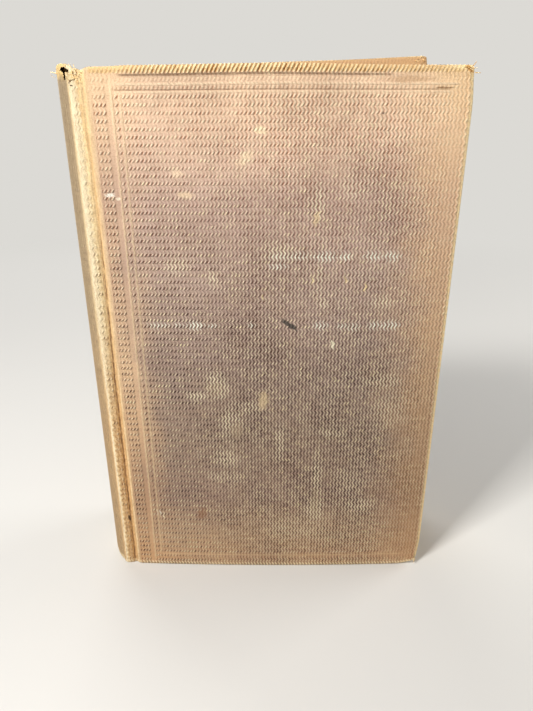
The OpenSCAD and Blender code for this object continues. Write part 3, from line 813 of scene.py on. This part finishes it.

    # Rubbed patches on the ribs, and single marks over all; the cream mark at the back cover's head corner is
    # partly a painted highlight
    wide_crest = mask(tree, (rib, 0.22, 0.34), (chance, 0.1, 0.6, 0.45, 1.0), (thread, 0.68, 0.36, 0.7, 2.2))
    for patch, code in ((cream_patch, "#efe0be"), (white_patch, "#f3f0dc")):
        patch = node(tree, "Math", {0: patch, 1: wide_crest}, operation="MULTIPLY", use_clamp=True)
        tone = laid_over(tree, tone, (patch, code))
    for from_spine, from_head, half_w, half_h, tilt, code, strength in marks:
        local = node(tree, "Mapping", {
            0: flat, "Location": (from_spine, BOARD_H - from_head, 0),
            "Rotation": (0, 0, math.radians(tilt)), "Scale": (half_w, half_h, 1)}, vector_type="TEXTURE")
        away = node(tree, "VectorMath", {0: local}, output="Value", operation="LENGTH")
        away = node(tree, "Math", {0: thread, 1: 1.5, 2: away}, operation="MULTIPLY_ADD")
        tone = laid_over(tree, tone, (mask(tree, (away, 1.75, 1.25, 0.0, strength)), code))

    # The turned-in cloth kept its dye. Over the spine, past its shoulder, the turned-in cloth is painted
    # near black: painted shade for the hollow back, seen through the torn hole at the head
    inner = laid_over(tree, "#c4996b", (mask(tree, (u, -5.2, -6.2)), "#3a2414"))
    tone = laid_over(tree, tone, (mask(tree, inside, 0.8), inner))

    # The relief of its threads and ribs
    dots = node(tree, "ValToRGB", {0: speck}, stops=[(0.3, "#c9c3bd"), (0.5, "#f0eeec"), (0.7, "#ffffff")])
    tone = node(tree, "Mix", {0: 0.8, 6: tone, 7: dots}, output=2, data_type="RGBA", blend_type="MULTIPLY")
    fibres = node(tree, "Bump", {"Height": speck, "Strength": 0.35, "Distance": 0.00015})
    ripple = mask(tree, (rib, 0.03, 0.42, 0.0, 1.0, "SMOOTHSTEP"), grain, (deep, 0.0, 1.0, 1.3, 3.4), quiet)
    ripple = node(tree, "Math", {0: ripple, 1: stroke, 2: raised}, operation="MULTIPLY_ADD")
    ribs = node(tree, "Bump", {"Height": ripple, "Normal": fibres, "Strength": 1.0, "Distance": 0.00014})
    surface(tree, shader, tone, ribs, 0.8, 0.25)
    return made


front_cloth_material = wave_grain_cloth("wave_grain_book_cloth_front", FRONT_MARKS)
back_cloth_material = wave_grain_cloth("wave_grain_book_cloth_back", BACK_MARKS_AND_PAINTED_LIGHT)

front_arrays = cover_arrays(bumped=True)
front_cover_cloth = cloth_sheet("front_cover_cloth", front_arrays)
dress(front_cover_cloth, front_cloth_material)
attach(front_cover_cloth, "front_cover")
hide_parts("front_cloth")

back_arrays = cover_arrays(bumped=False)
back_arrays["points"] = to_back_cover(back_arrays["points"])
back_cover_cloth = cloth_sheet("back_cover_cloth", back_arrays, flipped=True)
dress(back_cover_cloth, back_cloth_material)
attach(back_cover_cloth, "back_cover")
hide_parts("back_cloth")


# The cloth of the spine and joints
# The same sheet of cloth runs on over the board's edge, down into the groove, up over the shoulder
# and round the hollow back. It is made in two halves that meet in the middle of the spine, one for
# each cover. Its ends are turned in over the stiff strip.

SHELL = 1.3
CREASE_U = -1.8
ARC_POINTS = 24
# Near the torn head the rows lie closer together
FINE_HEAD, FINE_STEP = 9.5, 0.25
# The way across the joint: distance from the board's spine edge, depth below the face
JOINT_WAY = [(0.5, 0.0), (0.0, 0.03), (-0.4, 0.15), (-0.8, 0.42), (-1.15, 0.8), (-1.5, 1.08),
             (-1.8, 1.14), (-2.1, 0.98), (-2.5, 0.72), (-3.2, 0.52), (-4.2, 0.40), (-5.0, 0.38),
             (-5.5, 0.46), (-5.95, 0.66), (-6.35, 0.96), (-6.75, 1.36)]


def spine_arrays(back):
    """Points of one half of the spine with its joint, from the middle of the spine to the board."""
    heights, v_steps = upright_stations()
    if not back:
        coarse = (heights < BOARD_H - FINE_HEAD) | (heights >= BOARD_H - EDGE_ROLL - 0.01)
        fine = np.arange(BOARD_H - FINE_HEAD, BOARD_H - EDGE_ROLL - 0.1, FINE_STEP)
        order = np.argsort(np.concatenate([heights[coarse] + v_steps[coarse] * 1e-6 * np.sign(
            heights[coarse] - BOARD_H / 2), fine]), kind="stable")
        heights, v_steps = (np.concatenate([heights[coarse], fine])[order],
                            np.concatenate([v_steps[coarse], np.zeros(len(fine), int)])[order])
    side = 1 if back else -1
    last_offset, last_depth = JOINT_WAY[-1]
    last_x, last_y = SPINE_EDGE_X + last_offset, FACE_Y - last_depth
    end_angle = math.atan2(last_y, SPINE_CENTRE_X - last_x)
    angles = np.linspace(end_angle * 0.965, 0, ARC_POINTS)
    rows = []
    for z in heights:
        edge_x, squeeze = SPINE_EDGE_X, 1.0
        if back:
            edge_x = SPINE_EDGE_X + BACK_SHIFT - z * math.sin(BACK_TURN)
            squeeze = (edge_x - min(last_x, edge_x - 2.6)) / -last_offset
        # The groove is pulled nearly flat towards the head
        slack = 1 - 0.6 * float(step(z, 125, 165)) * (not back)
        way = [(edge_x + offset * (squeeze if offset < 0 else 1),
                FACE_Y - depth * (slack if -3.0 < offset < -0.5 else 1), offset)
               for offset, depth in JOINT_WAY]
        arc = [(SPINE_CENTRE_X - SPINE_RADIUS * math.cos(angle), SPINE_RADIUS * math.sin(angle),
                last_offset - SPINE_RADIUS * (end_angle - angle)) for angle in angles]
        rows.append((way + arc)[::-1])
    rows = np.array(rows)
    # Even columns along the cloth, four to a rib
    first = rows[0, 0, 2]
    count = int(round((JOINT_WAY[0][0] - first) / (RIB_PITCH / 4)))
    stations = np.linspace(first, JOINT_WAY[0][0], count + 1)
    if not back:
        middles = (stations[1:] + stations[:-1]) / 2
        stations = np.sort(np.concatenate([stations, middles[(middles > -11) & (middles < -2)]]))
    x = np.array([np.interp(stations, row[:, 2], row[:, 0]) for row in rows])
    y = np.array([np.interp(stations, row[:, 2], row[:, 1]) for row in rows])
    u, v = np.meshgrid(stations, heights)
    sheet = np.stack([u, v, np.zeros_like(u)], -1)
    k = v_steps[:, None] + np.zeros(u.shape, int)

    # The grain is nearly ironed out on the spine and rubbed to scraps on the shoulder
    scraps = step(soft_noise(u, v, 1.4, 6), 0.42, 0.75)
    strength = 0.14 + 0.6 * near(u, -3.6, 1.3) * scraps + 0.15 * scraps * step(-u, 6.5, 8)
    for place, width, share in ((0.5, 0.5, 1), (CREASE_U, 0.5, 0.8), (-5.6, 0.8, 0.8)):
        strength = strength * (1 - share * near(u, place, width))
    seam = step(u, first, first + 1.5)
    shift = 0.8 * RIB_SHIFT * np.clip(rib_lean(v), -1, 1) * step(-u, 2.8, 3.6) * (k == 0) * seam
    shift = shift * (1 - 0.85 * near(u, -6.3, 0.9))

    # Outward normals along the path, for the grain and the turned-in layer under the cloth
    dx, dy = np.gradient(x, axis=1), np.gradient(y, axis=1)
    size = np.hypot(dx, dy)
    nx, ny = -np.abs(dy) / size, dx / size
    if not back:
        # The hollow back has sprung out a little on this side
        bulge = (0.5 + 0.25 * v / BOARD_H) * step(-u, 7, 12) * (1 - step(-u, 19, 27))
        x, y = x + nx * bulge, y + ny * bulge
    lift = RIB_HEIGHT * rib_relief(u) * strength * (k == 0) * seam
    inner_x = np.where(u < -6, x - nx * SHELL, x)
    inner_y = np.where(u < -6, y - ny * SHELL, y)
    toward = step(u, -6.5, 0.4)
    inner_y = np.where(u >= -6, (1 - toward) * (FACE_Y - 2.1) + toward * (FACE_Y - COVER_DEPTH), inner_y)
    x = x + shift * dx / size + nx * lift
    y = y + shift * dy / size + ny * lift

    z = v.copy()
    from_end = np.minimum(v, BOARD_H - v)
    share = rolled_depth(from_end) / COVER_DEPTH
    for number, (wrap_in, wrap_depth) in enumerate(WRAP, start=1):
        at = k == number
        share = np.where(at, wrap_depth / COVER_DEPTH, share)
        z = np.where(at, np.clip(z, wrap_in, BOARD_H - wrap_in), z)
    x = x + share * (inner_x - x)
    y = y + share * (inner_y - y)

    gone = np.zeros(u.shape, bool)
    if not back:
        # The head of the spine: the cap is pulled out and up over a torn hole, and frayed beside the board
        up = v - BOARD_H
        cap = step(up, -5.0, -1.6) * near(u, -9.0, 3.0) * (k < 3)
        fray = step(up, -6.0, -3.5) * near(u, -3.9, 1.9) * (k == 0)
        coarse_lumps, fine_lumps = (soft_noise(u, v, size, seed) - 0.45
                                    for size, seed in ((1.5, 11), (0.65, 12)))
        push = cap * (0.25 + 0.7 * coarse_lumps) + fray * (0.1 + 0.4 * coarse_lumps + 0.25 * fine_lumps)
        x, y = x + nx * push, y + ny * push
        z = z + 1.05 * step(-u, 4.6, 6.8) * (1 - step(-u, 15, 24)) * step(up, -8, -2.2)
        ragged = step(up, -1.6, -0.6) * near(u, -7.5, 4.5)
        z = z + ragged * 0.8 * (soft_noise(u, v * 0.2, 0.8, 13) - 0.5)
        z = z - 0.9 * near(u, -2.2, 1.5) * step(up, -5, 0)
        wobble = 0.5 * (soft_noise(u, v, 0.6, 14) - 0.5)
        hole = np.hypot((u + 7.4) / 2.2, up + 1.7 + 0.1 * (u + 7.4)) + wobble < 1
        lobe = np.hypot((u + 7.7 - 0.5 * (up + 3)) / 0.8, (up + 2.9) / 1.2) + 1.4 * wobble < 1
        nick = np.hypot((u + 5.3) / 0.5, (up + 5.4) / 0.3) + wobble < 1
        gone = (hole | lobe | nick) & (k == 0)
    if back:
        lean = step(u, -9, -1)
        z = z + lean * (BACK_LIFT + v * (math.cos(BACK_TURN) - 1) + SEAM_U * math.sin(BACK_TURN))
    points = np.stack([x, side * y, np.maximum(z, 0)], -1)
    return {"points": points, "sheet": sheet, "edge": np.where(k == 0, from_end, TUCKED[k]),
            "grain": np.where(k < 2, strength, 0.0), "inside": step(k, 0.5, 2.5), "gone": gone}


spine_front = cloth_sheet("spine_cloth_front_half", spine_arrays(back=False))
dress(spine_front, front_cloth_material)
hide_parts("spine_cloth")
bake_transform(spine_front)

spine_back = cloth_sheet("spine_cloth_back_half", spine_arrays(back=True), flipped=True)
dress(spine_back, back_cloth_material)
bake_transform(spine_back)


# The folds of the endpapers
# At each joint the endpaper runs on from its free leaf, out to the hinge line and back to its pasted
# half. Each fold is a strip of the same paper.

FOLD_LOW, FOLD_HIGH = 3.2, 185.8
FOLD_COLUMNS, FOLD_ROWS = 16, 12
PAPER_THICK = 0.2


def thicken(piece, thickness):
    """Gives a sheet a thickness in millimetres, half to each side."""
    solid = piece.modifiers.new("thickness", "SOLIDIFY")
    solid.thickness = thickness * MM
    solid.offset = 0.0
    bpy.ops.object.modifier_apply(modifier="thickness")


def paper_fold(name, tail_way, head_way):
    """A strip of paper along three points (x, y) in mm, given at the tail and at the head."""
    strip, (across, upward, _) = primitive(name, bpy.ops.mesh.primitive_grid_add,
                                           x_subdivisions=FOLD_COLUMNS, y_subdivisions=FOLD_ROWS)
    plan = [(1 - upward) * np.interp(across, (0, 0.5, 1), [p[i] for p in tail_way])
            + upward * np.interp(across, (0, 0.5, 1), [p[i] for p in head_way]) for i in (0, 1)]
    place_points(strip, np.stack([*plan, FOLD_LOW + upward * (FOLD_HIGH - FOLD_LOW)], -1))
    thicken(strip, PAPER_THICK)
    dress(strip, endpaper)
    return strip


front_way = [(-61.8, -17.25), (-61.6, -19.7), (SPINE_EDGE_X + 0.1, -17.68)]
front_fold = paper_fold("front_endpaper_fold", front_way, front_way)
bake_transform(front_fold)

back_ways = [[(-64.45, 17.2), (-64.3, 19.6),
              (SPINE_EDGE_X + BACK_SHIFT - z * math.sin(BACK_TURN) + 0.1, 17.68)]
             for z in (FOLD_LOW, FOLD_HIGH)]
back_fold = paper_fold("back_endpaper_fold", *back_ways)
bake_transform(back_fold)
leaf_way = [(-61.7, 17.22), (-63.0, 17.22), (-64.45, 17.22)]
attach(paper_fold("back_leaf_margin", leaf_way, leaf_way), "text_block")


# Frayed threads and the torn flap
# Where the cloth has worn through at the head of the spine and at the corners its cotton threads stand
# loose in tufts, and one scrap of the torn cloth has curled outwards below the hole.

THREAD_SIDES, THREAD_STEPS = 5, 7
FLAP_CELLS, FLAP_THICK = 14, 0.3


def loose_cotton():
    """Bare cotton threads: cream, stained orange-brown with old glue."""
    made, tree, shader = new_material("loose_cotton_thread")
    place = node(tree, "TexCoord", output="Object")
    stain = node(tree, "TexNoise", {0: place, "Scale": 900.0, "Detail": 2.0})
    tone = node(tree, "ValToRGB", {0: stain}, stops=[(0.3, "#c48b48"), (0.42, "#ecbf78"), (0.56, "#fde6ae")])
    surface(tree, shader, tone, None, 0.9, 0.15)
    return made


def thread_tufts(name, threads):
    """Thin tapered tubes that leave the cloth at their own points and curl."""
    mesh = bmesh.new()
    for number, (point, way, length, radius, curl) in enumerate(threads):
        chance = random.Random(number)
        heading = Vector(way).normalized()
        side = heading.orthogonal().normalized()
        axis = Vector([chance.uniform(-1, 1) for _ in range(3)]).normalized()
        place = Vector(point)
        rings = []
        for i in range(THREAD_STEPS + 1):
            side = (side - side.dot(heading) * heading).normalized()
            other = heading.cross(side)
            width = radius * (1 - 0.55 * i / THREAD_STEPS)
            rings.append([mesh.verts.new((place + width * (math.cos(a) * side + math.sin(a) * other)) * MM)
                          for a in np.arange(THREAD_SIDES) * 2 * math.pi / THREAD_SIDES])
            heading = (Matrix.Rotation(curl / THREAD_STEPS, 3, axis) @ heading).normalized()
            place = place + heading * (length / THREAD_STEPS)
        skin(mesh, rings)
    piece = piece_from(name, mesh)
    piece.data.polygons.foreach_set("use_smooth", np.ones(len(piece.data.polygons), bool))
    return piece


def tuft(count, seed, low, high, length, radius, way, spread):
    """Threads that start anywhere in a small box, each headed its own way about a main direction."""
    chance = random.Random(seed)
    threads = []
    for _ in range(count):
        point = [chance.uniform(a, b) for a, b in zip(low, high)]
        heading = [w + chance.uniform(-spread, spread) for w in way]
        threads.append((point, heading, length * chance.uniform(0.6, 1.3), radius * chance.uniform(0.7, 1.2),
                        chance.uniform(-3.5, 3.5)))
    return threads


cotton = loose_cotton()
HEAD_FACE = -(FACE_Y - 0.35)
spine_threads = tuft(26, 1, (SPINE_EDGE_X - 4.6, HEAD_FACE - 0.1, BOARD_H - 4.4),
                     (SPINE_EDGE_X - 1.5, HEAD_FACE + 0.1, BOARD_H - 0.9), 1.1, 0.15, (0.1, -0.05, 0.3), 0.8)
spine_threads += tuft(14, 2, (SPINE_EDGE_X - 6.6, HEAD_FACE + 0.3, BOARD_H - 0.3),
                      (SPINE_EDGE_X - 3.5, HEAD_FACE + 0.6, BOARD_H + 0.2), 0.9, 0.09, (0, -0.2, 0.6), 0.9)
spine_threads += tuft(9, 3, (-71.9, -14.0, BOARD_H - 1.2), (-70.2, -10.5, BOARD_H + 0.5), 0.5, 0.1,
                      (-0.6, -0.4, 0.3), 0.8)
spine_threads += [((-71.6, -11.5, BOARD_H - 1.4), (-1, -0.2, 0.3), 2.2, 0.2, 0.7),
                  ((-72.2, -11.5, BOARD_H - 2.6), (-1, -0.2, 0.1), 2.2, 0.05, -1.2)]
head_tuft = thread_tufts("spine_head_threads", spine_threads)
dress(head_tuft, cotton)
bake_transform(head_tuft)

RIGHT = SPINE_EDGE_X + BOARD_W
corner_threads = tuft(4, 5, (RIGHT - 3.2, -21.3, BOARD_H - 1.0), (RIGHT - 0.9, -20.3, BOARD_H - 0.1),
                      0.8, 0.1, (0.5, -0.4, 0.4), 0.8)
corner_threads += [((RIGHT - 1.7, -21.2, BOARD_H - 0.3), (0.8, 0, 0.75), 1.6, 0.17, 0.3),
                   ((RIGHT - 0.8, -21.2, BOARD_H - 2.1), (1, 0, 0.0), 1.8, 0.17, 0.15),
                   ((RIGHT - 4.2, -21.4, BOARD_H - 0.25), (1, -0.05, -0.3), 3.6, 0.17, 0.35),
                   ((RIGHT - 3.6, -21.3, BOARD_H - 0.1), (1, 0, -0.22), 2.8, 0.12, -0.3)]
corner_threads += tuft(16, 6, (RIGHT - 2.2, -21.9, 1.6), (RIGHT - 1.3, -21.0, 3.6), 0.6, 0.08,
                       (0.5, -0.6, 0), 0.8)
corner_tuft = thread_tufts("front_corner_threads", corner_threads)
dress(corner_tuft, cotton)
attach(corner_tuft, "front_cover")

back_threads = tuft(7, 7, (BOARD_W - 6.5, 0, BOARD_H - 0.9), (BOARD_W - 1.4, 0, BOARD_H + 0.6), 0.8, 0.16,
                    (0.3, -0.25, 0.2), 0.8)
back_threads = [(to_back_cover(np.array([p[0] + SPINE_EDGE_X, -FACE_Y + COVER_DEPTH, p[2]])), w, l, r, c)
                for p, w, l, r, c in back_threads]
back_tuft = thread_tufts("back_corner_threads", back_threads)
dress(back_tuft, cotton)
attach(back_tuft, "back_cover")

flap, (a, b, _) = primitive("torn_cloth_flap", bpy.ops.mesh.primitive_grid_add,
                            x_subdivisions=FLAP_CELLS, y_subdivisions=FLAP_CELLS)
ragged_side = 0.25 * (soft_noise(b * 4, a * 0, 0.7, 21) - 0.5)
flap_x = SPINE_EDGE_X - 6.4 + 2.5 * a * (1 - 0.35 * b) + ragged_side + 0.55 * b
flap_z = BOARD_H - 3.9 + 2.3 * b + 0.5 * a - 0.6 * a * b
curl_up = (1 - a) ** 2 * (0.55 + 0.25 * b)
flap_y = -(FACE_Y - 0.45) - 0.28 - 0.75 * curl_up
place_points(flap, np.stack([flap_x, flap_y, flap_z], -1))
thicken(flap, FLAP_THICK)
bpy.ops.object.shade_smooth_by_angle(angle=math.radians(50))
dress(flap, coarse_fibre("torn_cloth_back", "#f4dfb2", "#d9b57c", 1800, 0.3))
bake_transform(flap)


# The set
# A pale floor that fades into a pale backdrop, soft light mostly from the upper left, and the camera.
# Nothing of it belongs to the book.

BACKDROP = "#dcdad5"
# The lens is as long as 580 pixels of a picture 711 pixels high; the camera looks down at the book
SENSOR = 36
FOCAL_SHARE = 580 / 711
LOOKS_DOWN, ROLLED_BY, TURNED_BY = 22.64, 0.18, 0.24

bpy.ops.mesh.primitive_plane_add(size=8, location=(0, 0, 0))
floor = bpy.context.object
floor.name = "floor"
floor_material, tree, shader = new_material("pale_floor")
shader.inputs["Base Color"].default_value = colour("#d3d0ca")
shader.inputs["Roughness"].default_value = 0.75
shader.inputs["Specular IOR Level"].default_value = 0.2
ground = node(tree, "TexCoord", output="Object")
away = node(tree, "VectorMath", {0: ground}, output="Value", operation="LENGTH")
seen = node(tree, "LightPath", output="Is Camera Ray")
backdrop = node(tree, "Emission", {"Color": BACKDROP, "Strength": 1.0})
far_seen = mask(tree, (away, 0.22, 0.75, 0.0, 1.0, "SMOOTHSTEP"), seen)
faded = node(tree, "MixShader", {0: far_seen, 1: shader.outputs[0], 2: backdrop})
tree.links.new(faded, tree.nodes["Material Output"].inputs["Surface"])
dress(floor, floor_material)

world = bpy.data.worlds.new("studio")
bpy.context.scene.world = world
world.use_nodes = True
tree = world.node_tree
soft = tree.nodes["Background"]
soft.inputs["Color"].default_value = colour("#f7faff")
soft.inputs["Strength"].default_value = 0.17
seen = node(tree, "LightPath", output="Is Camera Ray")
plain = node(tree, "Background", {"Color": BACKDROP, "Strength": 1.0})
mixed = node(tree, "MixShader", {0: seen, 1: soft.outputs[0], 2: plain})
tree.links.new(mixed, tree.nodes["World Output"].inputs["Surface"])


def soft_lamp(name, place, target, size, power):
    """A square soft lamp that looks at a point."""
    bpy.ops.object.light_add(type="AREA", location=place)
    lamp = bpy.context.object
    lamp.name = name
    lamp.data.size = size
    lamp.data.energy = power
    away = np.array(target) - np.array(place)
    down = math.acos(-away[2] / np.linalg.norm(away))
    lamp.rotation_euler = (down, 0, math.atan2(away[1], away[0]) - math.pi / 2)


soft_lamp("key_lamp", (-0.26, -0.30, 0.52), (0, 0, 0.12), 0.12, 4.0)
soft_lamp("back_lamp", (-0.45, 1.0, 0.55), (0, 0, 0.1), 0.9, 9.0)
soft_lamp("fill_lamp", (0.30, -0.90, 0.25), (0, 0, 0.1), 0.8, 0.65)
soft_lamp("side_lamp", (0.80, 0.28, 0.35), (0.06, 0, 0.1), 0.5, 5.0)

bpy.ops.object.camera_add(location=(-0.0038, -0.2169, 0.1786))
camera = bpy.context.object
camera.name = "camera"
camera.rotation_euler = [math.radians(angle) for angle in (90 - LOOKS_DOWN, ROLLED_BY, TURNED_BY)]
camera.data.sensor_width = SENSOR
camera.data.lens = FOCAL_SHARE * SENSOR
camera.data.clip_start = 0.01
bpy.context.scene.camera = camera
bpy.context.scene.view_settings.view_transform = "Standard"
